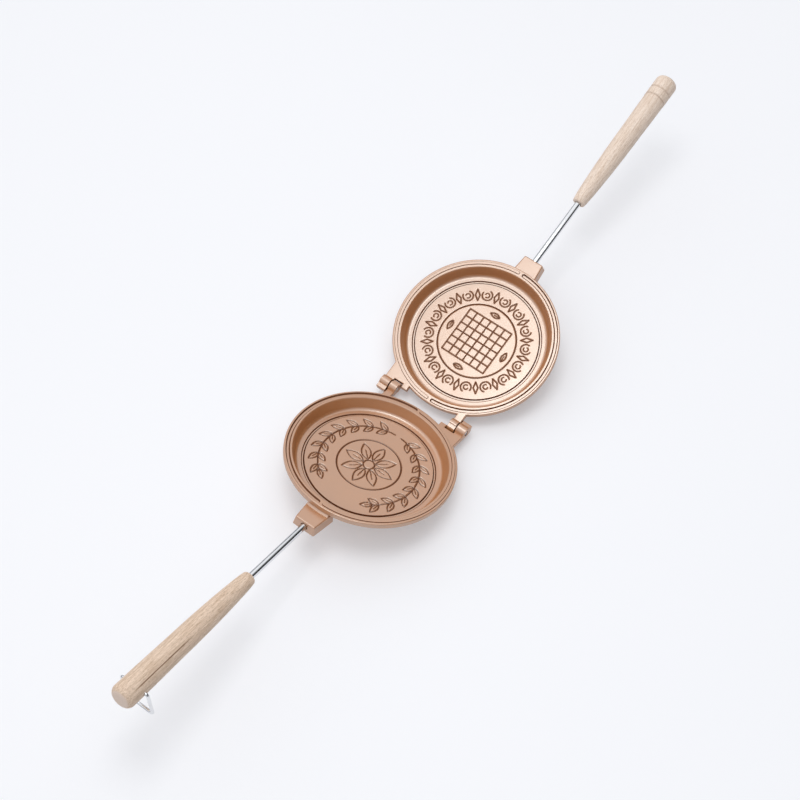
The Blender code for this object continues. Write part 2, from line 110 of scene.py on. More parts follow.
# Hinge, as in the CAD, with wider gaps beside the knuckles and countersunk pin ends
PIN_RADIUS = 0.0015
PIN_ROUND = 0.0004
KNUCKLE_WALL = 0.0031
KNUCKLE_STEP = 0.0016
INNER_STEP = 0.0014
KNUCKLE_TAIL = 0.0069
KNUCKLE_ROUND = 0.0008
KNUCKLE_PROUD = 0.0001
KNUCKLE_EDGE = 0.0003
NOTCH_CLEARANCE = 0.0008
NOTCH_RELIEF = 0.0006
COUNTERSINK_RADIUS = 0.0021
COUNTERSINK_DEPTH = 0.0007
OUTER_X = (0.0311, 0.0387)
INNER_X = (0.0240, 0.0303)
NUB_X = (0.0182, 0.0234)
NUB_REACH = 0.0028
HEEL_TOP = 0.0010
HEEL_BOTTOM = 0.0046
STEP_Y = -0.0003
BARREL_RADIUS = PIN_RADIUS + KNUCKLE_WALL
NOTCH_Y = BARREL_RADIUS + NOTCH_CLEARANCE
PIN_SPAN = OUTER_X[1] - INNER_X[0]
PIN_X = (OUTER_X[1] + INNER_X[0]) / 2

# Socket block, as in the CAD
BLOCK_LENGTH = 0.0147
BLOCK_TOP_DROP = 0.0061
BLOCK_ROOT_HALF = 0.0102
BLOCK_FACE_HALF = 0.0081
BLOCK_SIDE_DRAFT = 0.0011
BLOCK_FACE_DRAFT = 0.0008
BLOCK_ROOT_SINK = 0.0060
BLOCK_ROUND = 0.0010
BLOCK_FACE_Y = PAN_CENTRE_Y + RIM_RADIUS + BLOCK_LENGTH

# Lip along the root of the block: half its length, and (radius, height over the rim) of its section
LIP_HALF = 0.0092
LIP_SECTION = (
    (0.0610, -0.0066), (0.0610, -0.0042), (0.0622, -0.0042),
    (0.0628, -0.0049), (0.0640, -0.0057), (0.0643, -0.0066),
)

# Rod and handle, as in the CAD
ROD_RADIUS = 0.0025
ROD_ROUND = 0.0004
ROD_DROP = 0.0105
SOCKET_DEPTH = 0.0150
SOCKET_MOUTH = 0.0006
HANDLE_START = 0.0590
HANDLE_LENGTH = 0.1275
HANDLE_RADIUS = 0.0089
ROD_IN_HANDLE = 0.0300
BUTT_ROUND = 0.0052
NOSE_ROUND = 0.0018
NOSE_SHARE = 0.560
HANDLE_SHARES = (
    (0.040, 0.640), (0.095, 0.702), (0.170, 0.764), (0.245, 0.818), (0.325, 0.860),
    (0.405, 0.893), (0.500, 0.916), (0.600, 0.930), (0.720, 0.958), (0.840, 0.983),
)
SEAT_GROOVE_FROM_BUTT = (0.0127, 0.0202)
SEAT_GROOVE_RADIUS = 0.00125
SEAT_GROOVE_DEPTH = 0.00045
CROSS_HOLE_FROM_BUTT = 0.0140
BORE_RADIUS = ROD_RADIUS + SEAT_GAP
HANDLE_END = HANDLE_START + HANDLE_LENGTH
CROSS_HOLE_S = HANDLE_END - CROSS_HOLE_FROM_BUTT
LOCK_GROOVE_S = HANDLE_END - SEAT_GROOVE_FROM_BUTT[1]

# Bail, as in the CAD
WIRE_RADIUS = 0.0012
WIRE_BEND = 0.0030
BAIL_SIDE_GAP = 0.0006
BAIL_TAIL = 0.0062
BAIL_HALF_WIDTH = HANDLE_RADIUS + BAIL_SIDE_GAP + WIRE_RADIUS

# Engraving
RELIEF_GAP = 0.0002
RELIEF_RADIUS = RING_RADIUS - RING_WIDTH / 2 - RELIEF_GAP
RELIEF_STEP = 0.00030
RELIEF_CROWDED = 0.55
DISC_FLARE = 0.00090
DISC_STEPS = 960
DISC_FEWEST_STEPS = 30
LINE_DEPTH = 0.00080
LINE_HALF = 0.00052
LINE_EDGE = 0.00030
LEAF_LINE = LINE_HALF * 0.85
FINE_LINE = LINE_HALF * 0.8
CURL_LINE = LINE_HALF * 0.7
MIDRIB_LINE = LINE_HALF * 0.55
LEAF_BELLY = 0.42
MIDRIB = 0.6
# Share of a line's depth past which a face gets the painted shade material
DEEP_SHARE = 0.60

# Wreath and rosette of the upper pan, angles in degrees
WREATH_RADIUS = 0.0372
WREATH_STEM = range(4, 142, 6)
WREATH_TIP = 140
TWIGS = 8
FIRST_TWIG = 14
TWIG_PITCH = 17
TWIG_LEAVES = ((38, 0.0098), (-42, 0.0088))
TWIG_LEAF_WIDTH = 0.0042
TIP_LEAF = (0.0090, 0.0040)
PETALS = 8
PETAL_ROOT = 0.0050
PETAL = (0.0150, 0.0070)
ROSETTE_EYE = 0.0042
ROSETTE_RING = 0.0236

# Scrolls, diamonds and lattice of the lower pan
SCROLLS = 16
BAND_RADIUS = 0.0378
SCROLL_RADII = (0.0040, 0.0018)
DIAMOND_REACH = 0.0046
DIAMOND_SHARE = 0.12
LATTICE_RING = 0.0300
LATTICE_HALF = 0.0190
LATTICE_CELLS = 6
LATTICE_LEAF_RADIUS = 0.0246
LATTICE_LEAF = (0.0080, 0.0034)

# Colours and finish of the coating
COATING_TONES = ((0.425, 0.158, 0.046), (0.465, 0.176, 0.052))
COATING_GRAIN = (0.52, 0.225, 0.08)
# Painted shade towards the bottoms of the engraved lines
COATING_PAINTED_SHADE = (0.16, 0.050, 0.014)
COATING_IOR = 3.0
COATING_TINT = (1.0, 0.985, 0.92, 1.0)
COATING_ROUGHNESS = (0.30, 0.36)
DEEP_ROUGHNESS = 0.55
# Painted shade: dark tones for the walls of grooves, lines and gaps, and for the sloping sides of the rim's
# tongue and groove
PAINTED_SHADE_TONES = ((0.115, 0.036, 0.012), (0.145, 0.048, 0.016))
TONGUE_SHADE_TONES = ((0.130, 0.044, 0.016), (0.160, 0.057, 0.021))
LINE_ROUGHNESS = (0.52, 0.62)

# Limits on the normal of a face that is a groove's wall, which gets painted shade
STEEP = 0.93
FACING = 0.9
TONGUE_SLOPES = (0.1, 0.85)

# Colours and finish of the steel
PLATED_STEEL = ((0.80, 0.81, 0.83), 0.12)
PIN_STEEL = ((0.78, 0.78, 0.79), 0.26)
STEEL_CLOUD = 0.90
STEEL_ROUGHNESS = (0.8, 1.3)

# Pale, warm and dark tones of the beech of each handle
WOODS = {
    "lower": ((0.92, 0.78, 0.67), (0.88, 0.73, 0.61), (0.63, 0.46, 0.34)),
    "upper": ((0.87, 0.69, 0.55), (0.82, 0.63, 0.49), (0.53, 0.36, 0.23)),
}
# Cool tint of the end grain at the butt: painted shade of its face
END_GRAIN_SHADE_TINT = (0.90, 0.93, 1.02)
END_GRAIN_EDGE = (0.0008, 0.0004)
FLECK_SHARE = 0.78
# Darker bands at the seat grooves: share of the dark tone, and span from the groove's middle
GROOVE_DARK_SHARE = 0.72
GROOVE_DARK_SPAN = (0.0003, 0.0008)

# Dark streak of the upper handle, with its place round the handle in radians
STREAK_AROUND = -2.20
STREAK_HALF = 0.056
STREAK_SPAN = (0.121, 0.179)
STREAK_FADE = (0.012, 0.006)
STREAK_WANDER = 0.35
STREAK_TONE = (0.22, 0.115, 0.060)

# Light, with the span and the two levels of each smooth step
SKY_AXIS = Vector((-0.55, 0.05, 0.83)).normalized()
SKY_LEVELS = (-0.5, 1.0, 0.30, 1.02)
HORIZON_LEVELS = (0.08, 0.55, 0.06, 1.05)
DARK_AXIS = (0.80, 0.60, 0.0)
DARK_LEVELS = (0.56, 0.68, 1.045, 0.20)
SKY_COLOUR = (0.97, 0.98, 1.0, 1.0)
LEVEL_TO_CAMERA = 0.92
KEY_PLACE = Vector((-0.12, -0.02, 1.5))
KEY_SIZE = 0.6
KEY_POWER = 5.6

# Floor
FLOOR_REACH = 3.0
FLOOR_GLOW = 0.27
FLOOR_TONES = ((0.925, 0.932, 0.960), (0.940, 0.947, 0.975))

# Camera, fitted to the photograph
CAMERA_PLACE = Vector((0.33292, -0.52771, 1.030906))
CAMERA_RIGHT = (0.80307, 0.59520, 0.02857)
CAMERA_UP = (-0.51933, 0.67557, 0.52336)
CAMERA_BACK = (0.29221, -0.43513, 0.85163)
CAMERA_LENS = 72.63
CAMERA_SENSOR = 36.0

# Fineness
ROUND_STEPS = 240
NECK_STEPS = ROUND_STEPS // 9
RIM_STEPS = ROUND_STEPS * 4 // 5
ARC_STEPS = 8
BORE_STEPS = 48
CROSS_HOLE_STEPS = 40
HANDLE_STEPS = 96
SHARE_STEPS = 4
SEAT_GROOVE_STEPS = 8
ROD_STEPS = 64
WIRE_STEPS = 10
WIRE_SEGMENTS = 6
EDGE_SEGMENTS = 3
BLOCK_SEGMENTS = 5
SMALL_FILLET = 0.0010
CLOSEST_POINTS = 0.00003
MERGE_DISTANCE = 0.000001
SHORTEST_EDGE = 0.000002
ON_AXIS = 1e-9


def half_matrix(name):
    """Return the matrix from a half's frame to the row frame."""
    turn = 0 if name == "lower" else math.pi
    lift = Matrix.Translation((0, 0, HINGE_HEIGHT))
    return lift @ Matrix.Rotation(turn, 4, "Z") @ Matrix.Rotation(HALF_TILT, 4, "X")


def along_rod(distance):
    """Return the matrix at a distance from the block's face along the rod, +Z towards the butt."""
    lay_down = Matrix.Rotation(-math.pi / 2, 4, "X")
    return Matrix.Translation((0, BLOCK_FACE_Y + distance, -ROD_DROP)) @ lay_down


def sideways(x, z):
    """Return the matrix at a place in the plane y = 0, with +Z along the hinge."""
    return Matrix.Translation((x, 0, z)) @ Matrix.Rotation(math.pi / 2, 4, "Y")


def arc(centre, radius, start, end, steps):
    """Return points along an arc, both ends included."""
    angles = [start + (end - start) * i / steps for i in range(steps + 1)]
    return [(centre[0] + radius * math.cos(a), centre[1] + radius * math.sin(a)) for a in angles]


def filleted(corners, steps=ARC_STEPS):
    """Round the corners of an outline, each given as (x, y, fillet radius)."""
    points = []
    for i, (x, y, radius) in enumerate(corners):
        if i in (0, len(corners) - 1) or radius == 0:
            points.append((x, y))
            continue
        here = Vector((x, y))
        before = Vector(corners[i - 1][:2]) - here
        after = Vector(corners[i + 1][:2]) - here
        half = before.angle(after) / 2
        reach = min(radius / math.tan(half), before.length / 2, after.length / 2)
        radius = reach * math.tan(half)
        bisector = (before.normalized() + after.normalized()).normalized()
        middle = here + bisector * radius / math.sin(half)
        first = here + before.normalized() * reach - middle
        turn = first.angle_signed(here + after.normalized() * reach - middle)
        count = steps if radius > SMALL_FILLET else max(2, steps // 2)
        for k in range(count + 1):
            spoke = first.copy()
            spoke.rotate(Matrix.Rotation(-turn * k / count, 2))
            point = tuple(middle + spoke)
            if math.dist(point, points[-1]) > CLOSEST_POINTS:
                points.append(point)
    return points


def mesh_object(name, mesh):
    """Return a new object for a mesh or a curve."""
    obj = bpy.data.objects.new(name, mesh)
    bpy.context.scene.collection.objects.link(obj)
    return obj


def object_of(name, work, matrix=Matrix.Identity(4)):
    """Return a new object for a bmesh, with its place in its mesh, and free the bmesh."""
    mesh = bpy.data.meshes.new(name)
    work.to_mesh(mesh)
    work.free()
    mesh.transform(matrix)
    return mesh_object(name, mesh)


def lofted(name, loops, matrix=Matrix.Identity(4)):
    """Return a closed object from loops of points, joined side by side, each end a face or a point."""
    work = bmesh.new()
    rings = [[work.verts.new(point) for point in loop] for loop in loops]
    for low, high in zip(rings, rings[1:]):
        for k in range(max(len(low), len(high))):
            corners = [low[k % len(low)], low[(k + 1) % len(low)]]
            corners += [high[(k + 1) % len(high)], high[k % len(high)]]
            work.faces.new(list(dict.fromkeys(corners)))
    for ring in (rings[0], rings[-1]):
        if len(ring) > 1:
            work.faces.new(ring)
    bmesh.ops.recalc_face_normals(work, faces=work.faces)
    return object_of(name, work, matrix)


def turned(name, profile, steps, matrix=Matrix.Identity(4)):
    """Return a closed object turned about Z from (radius, height) points with both ends on the axis."""
    spokes = [(math.cos(math.tau * k / steps), math.sin(math.tau * k / steps)) for k in range(steps)]
    loops = []
    for radius, height in profile:
        places = [(0, 0)] if radius < ON_AXIS else spokes
        loops.append([(radius * x, radius * y, height) for x, y in places])
    return lofted(name, loops, matrix)


def baked(obj):
    """Return the evaluated mesh of an object in its parent's space and remove the object."""
    bpy.context.view_layer.update()
    evaluated = obj.evaluated_get(bpy.context.evaluated_depsgraph_get())
    mesh = bpy.data.meshes.new_from_object(evaluated)
    mesh.transform(obj.matrix_basis)
    bpy.data.objects.remove(obj, do_unlink=True)
    work = bmesh.new()
    work.from_mesh(mesh)
    bmesh.ops.remove_doubles(work, verts=work.verts, dist=MERGE_DISTANCE)
    bmesh.ops.dissolve_degenerate(work, dist=SHORTEST_EDGE, edges=work.edges)
    bmesh.ops.recalc_face_normals(work, faces=work.faces)
    work.to_mesh(mesh)
    work.free()
    return mesh


def bevelled(name, points, dimensions, radius, segments, **settings):
    """Return the mesh of a curve through points, closed if flat, with a round bevel."""
    curve = bpy.data.curves.new(name, "CURVE")
    curve.dimensions = dimensions
    curve.bevel_depth = radius
    curve.bevel_resolution = segments
    curve.render_resolution_u = 0
    for key, value in settings.items():
        setattr(curve, key, value)
    spline = curve.splines.new("POLY")
    spline.points.add(len(points) - 1)
    for point, place in zip(spline.points, points):
        point.co = (*place, 1)
    spline.use_cyclic_u = dimensions == "2D"
    return baked(mesh_object(name, curve))


def plate(name, outline, thickness, edge, matrix):
    """Extrude a flat outline to a plate centred on z = 0, with its edges rounded by edge."""
    settings = {"fill_mode": "BOTH", "extrude": thickness / 2 - edge, "offset": -edge}
    mesh = bevelled(name, [(x, y, 0) for x, y in outline], "2D", edge, EDGE_SEGMENTS, **settings)
    mesh.transform(matrix)
    return mesh_object(name, mesh)


def side_plate(name, outline, x_range):
    """Extrude an outline drawn in (y, z) along x, from the first to the last x of x_range."""
    turn = Matrix(((0, 0, 1), (1, 0, 0), (0, 1, 0))).to_4x4()
    place = Matrix.Translation((sum(x_range) / 2, 0, 0)) @ turn
    return plate(name, outline, x_range[1] - x_range[0], KNUCKLE_EDGE, place)


def combine(obj, operands, operation):
    """Apply exact Booleans to an object and remove the operands."""
    for operand in operands:
        step = obj.modifiers.new(operand.name, "BOOLEAN")
        step.operation = operation
        step.object = operand
        step.solver = "EXACT"
    name = obj.name
    mesh = baked(obj)
    for operand in operands:
        bpy.data.objects.remove(operand, do_unlink=True)
    return mesh_object(name, mesh)


def cylinder(radius, top, bottom, fillet=0):
    """Return the profile of a drill, or of a bar with rounded ends."""
    return filleted([(0, top, 0), (radius, top, fillet), (radius, bottom, fillet), (0, bottom, 0)])


def rim_y(x):
    """Return y of the rim's outer edge on the hinge side."""
    return PAN_CENTRE_Y - math.sqrt(RIM_RADIUS ** 2 - x ** 2)


def rim_arc(x_start, x_end, steps):
    """Return rim points between two x places on the hinge side, ends left out."""
    start, end = (-math.acos(x / RIM_RADIUS) for x in (x_start, x_end))
    if end < start:
        end += math.tau
    return arc((0, PAN_CENTRE_Y), RIM_RADIUS, start, end, steps)[1:-1]


def flange_outline():
    """Return the outline of the rim with its wide ear, nub and narrow neck."""
    ear = OUTER_X[1] - KNUCKLE_PROUD
    ear_inner = OUTER_X[0] + KNUCKLE_PROUD
    neck = (INNER_X[0] + KNUCKLE_PROUD, INNER_X[1] - KNUCKLE_PROUD)
    tab_end = BARREL_RADIUS / 2
    notch = NOTCH_Y + NOTCH_RELIEF
    outline = [(-ear, rim_y(ear)), (-ear, tab_end), (-ear_inner, tab_end)]
    outline += [(-ear_inner, notch), (-NUB_X[1], notch)]
    outline += [(-NUB_X[1], NUB_REACH), (-NUB_X[0], NUB_REACH), (-NUB_X[0], rim_y(NUB_X[0]))]
    outline += rim_arc(-NUB_X[0], neck[0], NECK_STEPS)
    outline += [(neck[0], rim_y(neck[0])), (neck[0], tab_end)]
    outline += [(neck[1], tab_end), (neck[1], rim_y(neck[1]))]
    outline += rim_arc(neck[1], -ear, RIM_STEPS)
    return outline


def body_profile():
    """Return the turned outside of the bowl below the flange, from top to bottom."""
    top = -FLANGE_THICKNESS / 2
    corners = [
        (0, top, 0),
        (BODY_TOP_RADIUS, top, 0),
        (BODY_TOP_RADIUS, -FLANGE_THICKNESS - CLEAR_OF_PLANE, 0),
        (BODY_BASE_RADIUS, -BODY_DEPTH, BODY_FILLET),
        (0, -BODY_DEPTH, 0),
    ]
    return filleted(corners)


def cavity_profile():
    """Return the turned cutter of the cavity, with the ring groove and the bed of the engraving."""
    ring_inner = RELIEF_RADIUS + DISC_FLARE
    ring_outer = RING_RADIUS + RING_WIDTH / 2
    floor_z = -CAVITY_DEPTH
    bed = floor_z - RING_DEPTH - LINE_DEPTH
    flare = CAVITY_RADIUS + RIM_BREAK + OVERRUN
    corners = [
        (0, OVERRUN, 0),
        (flare, OVERRUN, 0),
        (CAVITY_RADIUS - RIM_BREAK * math.tan(CAVITY_DRAFT), -RIM_BREAK, RIM_BREAK_FILLET),
        (FLOOR_CORNER_RADIUS, floor_z, FLOOR_FILLET),
        (ring_outer + RING_OUTER_SLOPE[0], floor_z, RING_CORNER),
        (ring_outer - RING_OUTER_SLOPE[1], floor_z - RING_DEPTH, 0),
        (ring_inner, floor_z - RING_DEPTH, 0),
        (ring_inner, bed, 0),
        (0, bed, 0),
    ]
    return filleted(corners)


def rim_band(width, side):
    """Return a half ring with round ends on one side of the rim, side -1 for -x and +1 for +x."""
    end = math.pi / 2 - math.asin(TONGUE_END / TONGUE_RADIUS)
    outer = arc((0, 0), TONGUE_RADIUS + width / 2, -end, end, ROUND_STEPS // 2)
    inner = arc((0, 0), TONGUE_RADIUS - width / 2, end, -end, ROUND_STEPS // 2)
    x, y = TONGUE_RADIUS * math.cos(end), TONGUE_RADIUS * math.sin(end)
    cap = arc((x, y), width / 2, end, end + math.pi, ARC_STEPS)[1:-1]
    foot = arc((x, -y), width / 2, math.pi - end, math.tau - end, ARC_STEPS)[1:-1]
    return [(side * x, y + PAN_CENTRE_Y) for x, y in outer + cap + inner + foot]


def drafted_band(name, levels, side):
    """Return a half ring with sloping sides, from (width, height over the rim) levels."""
    loops = []
    for width, height in levels:
        loops.append([(x, y, RIM_Z + height) for x, y in rim_band(width, side)])
    return lofted(name, loops)


def rim_tongue():
    """Return the tongue along the -x half of the rim."""
    shoulder = TONGUE_HEIGHT * SHOULDER_SHARE
    root = TONGUE_BASE + (TONGUE_BASE - TONGUE_SHOULDER) * TONGUE_SINK / shoulder
    levels = [
        (root, -FLANGE_THICKNESS / 2),
        (root, -TONGUE_SINK),
        (TONGUE_SHOULDER, shoulder),
        (TONGUE_TOP, TONGUE_HEIGHT),
    ]
    return drafted_band("rim_tongue", levels, -1)


def rim_groove():
    """Return the cutter of the groove along the +x half of the rim."""
    mouth = GROOVE_TOP + SEAT_GAP
    levels = [
        (GROOVE_FLOOR, -GROOVE_DEPTH),
        (GROOVE_TOP, -GROOVE_DEPTH * GROOVE_TOP_SHARE),
        (mouth, SEAT_GAP),
        (mouth, OVERRUN),
    ]
    return drafted_band("rim_groove", levels, 1)


def block_lip():
    """Return the sloping lip along the root of the socket block, swept round the rim."""
    reach = math.asin(LIP_HALF / LIP_SECTION[-1][0])
    steps = 3 * ARC_STEPS
    loops = []
    for k in range(steps + 1):
        angle = math.pi / 2 - reach + 2 * reach * k / steps
        along, across = math.cos(angle), math.sin(angle)
        loops.append([(r * along, PAN_CENTRE_Y + r * across, RIM_Z + z) for r, z in LIP_SECTION])
    return lofted("block_lip", loops)


def knuckle_root():
    """Return the corners of a knuckle's outline that lie inside the rim."""
    root = BARREL_RADIUS + KNUCKLE_WALL
    high = RIM_Z - KNUCKLE_ROUND
    return [(root, RIM_BOTTOM + KNUCKLE_PROUD, 0), (root, high, 0), (BARREL_RADIUS, high, 0)]


def outer_knuckle_outline():
    """Return the (y, z) outline of the outer knuckle: barrel, lower step and rounded tail."""
    step_z = BARREL_RADIUS - KNUCKLE_STEP
    meets = math.pi - math.asin(step_z / BARREL_RADIUS)
    barrel = arc((0, 0), BARREL_RADIUS, 0, meets, 4 * ARC_STEPS)
    tail = [
        (barrel[-1][0], step_z, 0),
        (-KNUCKLE_TAIL, step_z, KNUCKLE_ROUND),
        (-KNUCKLE_TAIL, RIM_BOTTOM, KNUCKLE_WALL),
    ]
    return barrel[:-1] + filleted(tail + knuckle_root())


def inner_knuckle_outline():
    """Return the (y, z) outline of the inner knuckle, with the heel that stops the opening."""
    step_z = BARREL_RADIUS - INNER_STEP
    top = math.pi / 2 + math.asin(-STEP_Y / BARREL_RADIUS)
    barrel = arc((0, 0), BARREL_RADIUS, 0, top, 3 * ARC_STEPS)
    away = Vector((math.cos(OPEN_ANGLE), math.sin(OPEN_ANGLE)))
    down = Vector((-math.sin(OPEN_ANGLE), math.cos(OPEN_ANGLE)))
    face = away * (NOTCH_Y - SEAT_GAP)
    tail = [
        (STEP_Y, step_z, 0),
        (-math.sqrt(BARREL_RADIUS ** 2 - step_z ** 2), step_z, 0),
        (*(face + down * HEEL_TOP), 0),
        (*(face + down * HEEL_BOTTOM), 0),
        (-BARREL_RADIUS / 2, RIM_BOTTOM, 0),
    ]
    return barrel + filleted(tail + knuckle_root())


def socket_block():
    """Return the drafted block that holds the rod, with rounded edges."""
    work = bmesh.new()
    bmesh.ops.create_cube(work, size=2.0)
    root = PAN_CENTRE_Y + RIM_RADIUS - BLOCK_ROOT_SINK
    for vertex in work.verts:
        at_face = vertex.co.y > 0
        below = vertex.co.z < 0
        half = BLOCK_FACE_HALF if at_face else BLOCK_ROOT_HALF
        half += BLOCK_SIDE_DRAFT if below else 0
        y = BLOCK_FACE_Y if at_face else root
        y -= 0 if below or not at_face else BLOCK_FACE_DRAFT
        z = RIM_Z - (BODY_DEPTH if below else BLOCK_TOP_DROP)
        vertex.co = (math.copysign(half, vertex.co.x), y, z)
    edges = {"geom": work.edges[:], "affect": "EDGES", "profile": 0.5}
    bmesh.ops.bevel(work, offset=BLOCK_ROUND, segments=BLOCK_SEGMENTS, **edges)
    return object_of("socket_block", work)


def hinge_cutters():
    """Return the cutters of the countersink and of the bores for both pins."""
    face = Matrix.Translation((-OUTER_X[1], 0, 0)) @ Matrix.Rotation(-math.pi / 2, 4, "Y")
    profile = cylinder(COUNTERSINK_RADIUS, OVERRUN, -COUNTERSINK_DEPTH)
    cutters = [turned("countersink", profile, BORE_STEPS, face)]
    reach = PIN_SPAN / 2 + OVERRUN
    profile = cylinder(PIN_RADIUS + PIN_GAP, reach, -reach)
    for x in (-PIN_X, PIN_X):
        cutters.append(turned("pin_bore", profile, BORE_STEPS, sideways(x, 0)))
    return cutters


def rod_socket():
    """Return the cutter of the blind hole for the rod, with its flared mouth."""
    mouth = BORE_RADIUS + SOCKET_MOUTH
    profile = [
        (0, OVERRUN),
        (mouth, OVERRUN),
        (mouth, 0),
        (BORE_RADIUS, -SOCKET_MOUTH),
        (BORE_RADIUS, -SOCKET_DEPTH),
        (0, -SOCKET_DEPTH),
    ]
    return turned("rod_socket", profile, BORE_STEPS, along_rod(0))


def casting():
    """Return the fine casting in the frame of its half."""
    centre = Matrix.Translation((0, PAN_CENTRE_Y, RIM_Z))
    middle = Matrix.Translation((0, 0, RIM_Z - FLANGE_THICKNESS / 2))
    rim = plate("casting", flange_outline(), FLANGE_THICKNESS, RIM_EDGE, middle)
    solids = [
        turned("bowl_body", body_profile(), ROUND_STEPS, centre),
        side_plate("outer_knuckle", outer_knuckle_outline(), (-OUTER_X[1], -OUTER_X[0])),
        side_plate("inner_knuckle", inner_knuckle_outline(), INNER_X),
        socket_block(),
        block_lip(),
        rim_tongue(),
    ]
    rim = combine(rim, solids, "UNION")
    cutters = [turned("cavity", cavity_profile(), ROUND_STEPS, centre), rim_groove()]
    cutters += hinge_cutters()
    cutters.append(rod_socket())
    return combine(rim, cutters, "DIFFERENCE")


def finish(obj, materials, body, replaced=(), angle=35):
    """Shade a piece, give it its materials, attach it to its body and hide the parts that it replaces."""
    while len(obj.data.materials) < len(materials):
        obj.data.materials.append(None)
    for k, material in enumerate(materials):
        obj.data.materials[k] = material
    obj.data.shade_smooth()
    obj.data.set_sharp_from_angle(angle=math.radians(angle))
    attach(obj, body)
    if replaced:
        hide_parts(*replaced)


class Nodes:
    """Short calls for building a node tree."""

    def __init__(self, tree):
        self.tree = tree

    def node(self, kind, settings=(), **inputs):
        """Add a node, set its properties, and link or set its inputs."""
        made = self.tree.nodes.new(kind)
        for key, value in dict(settings).items():
            setattr(made, key, value)
        for key, value in inputs.items():
            self.put(made, key.replace("_", " "), value)
        return made

    def put(self, node, key, value):
        """Link a socket to an input, given by name or place, or set the input's value."""
        if isinstance(value, bpy.types.NodeSocket):
            self.tree.links.new(value, node.inputs[key])
        else:
            node.inputs[key].default_value = value

    def calc(self, operation, *values):
        """Return the result of a sum on values."""
        node = self.node("ShaderNodeMath", {"operation": operation})
        for place, value in enumerate(values):
            self.put(node, place, value)
        return node.outputs[0]

    def along(self, vector, axis):
        """Return how far a vector reaches along an axis."""
        node = self.node("ShaderNodeVectorMath", {"operation": "DOT_PRODUCT"})
        self.put(node, 0, vector)
        self.put(node, 1, axis)
        return node.outputs["Value"]

    def span(self, value, start, end, low, high, kind="LINEAR"):
        """Return a value mapped from one span to another and held at its ends."""
        spans = {"From_Min": start, "From_Max": end, "To_Min": low, "To_Max": high}
        return self.node("ShaderNodeMapRange", {"interpolation_type": kind}, Value=value, **spans).outputs[0]


class Shader(Nodes):
    """Short calls for building a node material."""

    def __init__(self, name):
        self.material = bpy.data.materials.new(name)
        self.material.use_nodes = True
        super().__init__(self.material.node_tree)
        self.bsdf = self.tree.nodes["Principled BSDF"]

    def surface(self, **inputs):
        """Link or set inputs of the surface."""
        for key, value in inputs.items():
            self.put(self.bsdf, key.replace("_", " "), value)

    def object_coordinates(self, matrix=None):
        """Return coordinates in a local frame, which a matrix carries to the row frame."""
        out = self.node("ShaderNodeTexCoord").outputs["Object"]
        if matrix is None:
            return out
        place = {"Location": matrix.translation, "Rotation": matrix.to_euler()}
        return self.node("ShaderNodeMapping", {"vector_type": "TEXTURE"}, Vector=out, **place).outputs[0]

    def noise(self, coordinates, scale, stretch=(1, 1, 1), detail=3.0, roughness=0.5):
        """Return a noise value on coordinates multiplied by a stretch."""
        mapping = self.node("ShaderNodeMapping", Vector=coordinates, Scale=stretch)
        settings = {"Scale": scale, "Detail": detail, "Roughness": roughness}
        return self.node("ShaderNodeTexNoise", Vector=mapping.outputs[0], **settings).outputs["Fac"]

    def over_noise(self, noise, low, high):
        """Return a value that goes from low to high over most of a noise's range."""
        return self.span(noise, 0.3, 0.7, low, high)

    def ramp(self, value, stops):
        """Return a colour ramp over a value, with stops of (position, colour)."""
        ramp = self.node("ShaderNodeValToRGB", Fac=value)
        elements = ramp.color_ramp.elements
        while len(elements) < len(stops):
            elements.new(0.5)
        for element, (position, colour) in zip(elements, stops):
            element.position = position
            element.color = (*colour, 1.0)
        return ramp.outputs["Color"]

    def tones(self, noise, low, high):
        """Return a colour that goes from low to high over most of a noise's range."""
        return self.ramp(noise, [(0.3, low), (0.7, high)])

    def mix(self, factor, first, second):
        """Return a mix of two colours."""
        node = self.node("ShaderNodeMix", {"data_type": "RGBA"})
        for place, value in ((0, factor), (6, first), (7, second)):
            self.put(node, place, (*value, 1.0) if isinstance(value, tuple) else value)
        return node.outputs[2]

    def bump(self, height, distance, strength):
        """Set the surface's bump from a height."""
        node = self.node("ShaderNodeBump", Height=height, Distance=distance, Strength=strength)
        self.surface(Normal=node.outputs[0])


def scaled(colour, share):
    """Return a colour with all its parts multiplied by a share."""
    return tuple(part * share for part in colour)


def pan_material():
    """Return the satin copper-coloured coating, with painted shade, a darker tone, towards the bottoms of
    its lines.
    """
    shader = Shader("pan_coating")
    coordinates = shader.object_coordinates()
    patches = shader.noise(coordinates, scale=38.0, detail=4.0, roughness=0.6)
    grains = shader.noise(coordinates, scale=1400.0, detail=2.0)
    base = shader.tones(patches, *COATING_TONES)
    base = shader.mix(shader.over_noise(grains, 0.0, 0.25), base, COATING_GRAIN)
    # The deep share mixes in painted shade towards the bottoms of lines
    deep = shader.node("ShaderNodeAttribute", {"attribute_name": "deep"}).outputs["Fac"]
    rough = shader.over_noise(patches, *COATING_ROUGHNESS)
    rough = shader.calc("MAXIMUM", rough, shader.span(deep, 0.0, 1.0, 0.0, DEEP_ROUGHNESS))
    shader.surface(Base_Color=shader.mix(deep, base, COATING_PAINTED_SHADE), Roughness=rough)
    shader.surface(IOR=COATING_IOR, Specular_Tint=COATING_TINT)
    shader.bump(grains, distance=0.00006, strength=0.35)
    return shader.material


def painted_shade_material(name, low, high):
    """Return a less glossy coating of painted shade for the walls of grooves, lines and gaps, between two
    dark tones.
    """
    shader = Shader(name)
    patches = shader.noise(shader.object_coordinates(), scale=160.0, roughness=0.6)
    rough = shader.over_noise(patches, *LINE_ROUGHNESS)
    shader.surface(Base_Color=shader.tones(patches, low, high), Roughness=rough, Specular_IOR_Level=0.25)
    return shader.material


